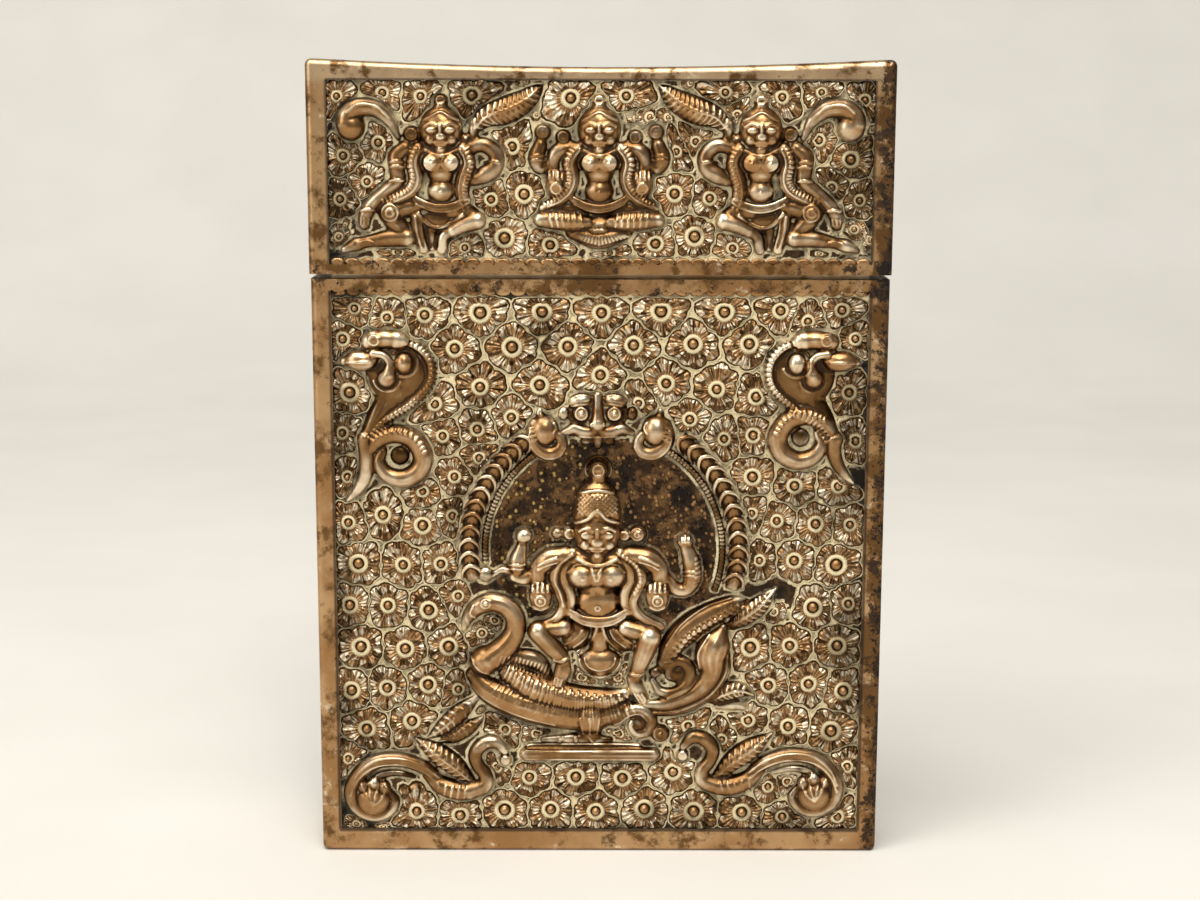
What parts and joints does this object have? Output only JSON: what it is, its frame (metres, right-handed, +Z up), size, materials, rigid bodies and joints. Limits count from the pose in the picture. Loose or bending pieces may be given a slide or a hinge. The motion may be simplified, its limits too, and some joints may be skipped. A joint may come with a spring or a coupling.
{
  "type": "card case",
  "caption": "Flat upright silver case with a hinged lid, chased panels of figures and rosettes in edge channels, and a sleeve inside for cards or an amulet.",
  "frame": {"origin": "middle of the underside of the bottom channel", "axes": "+Z up along the case's height, -Y out of the decorated front, +X to the viewer's right"},
  "size_m": [0.072, 0.0156, 0.101],
  "materials": {
    "raised_silver": "rubbed bright on the high points, brown in the hollows",
    "chased_silver": "tarnished, with cream polish left in the hollows",
    "frame_silver": "smooth, warm brown tarnish with dark spots",
    "plain_inner_silver": "plain, lightly tarnished"
  },
  "bodies": {
    "case_body": {"body_left_channel": "frame_silver", "body_right_channel": "frame_silver", "body_bottom_channel": "frame_silver", "body_front_mouth_strip": "frame_silver", "body_mouth_plate": "plain_inner_silver", "card_sleeve": "plain_inner_silver", "body_hinge_leaf": "frame_silver", "hinge_pin": "frame_silver", "body_front_panel": "chased_silver", "body_back_panel": "chased_silver", "seated_deity": "raised_silver", "goose": "raised_silver", "goose_plumes": "raised_silver", "niche_rope": "raised_silver", "niche_leaf_arch": "raised_silver", "arch_mask": "raised_silver", "arch_scroll_left": "raised_silver", "arch_scroll_right": "raised_silver", "corner_beast_left": "raised_silver", "corner_beast_right": "raised_silver", "corner_bird_left": "raised_silver", "corner_bird_right": "raised_silver", "pedestal_bar": "raised_silver", "leaf_spray": "raised_silver", "back_medallion": "raised_silver"},
    "lid": {"lid_hinge_leaf": "frame_silver", "lid_left_channel": "frame_silver", "lid_right_channel": "frame_silver", "lid_top_channel": "frame_silver", "lid_front_mouth_strip": "frame_silver", "lid_front_panel": "chased_silver", "lid_back_panel": "chased_silver", "attendant_left": "raised_silver", "attendant_right": "raised_silver", "lid_seated_figure": "raised_silver"}
  },
  "joints": [
    {"name": "lid_hinge", "type": "hinge", "parent": "case_body", "child": "lid", "pos_m": [0, 0.00665, 0.0745], "axis": [-1, 0, 0], "range_deg": [0, 120]}
  ]
}
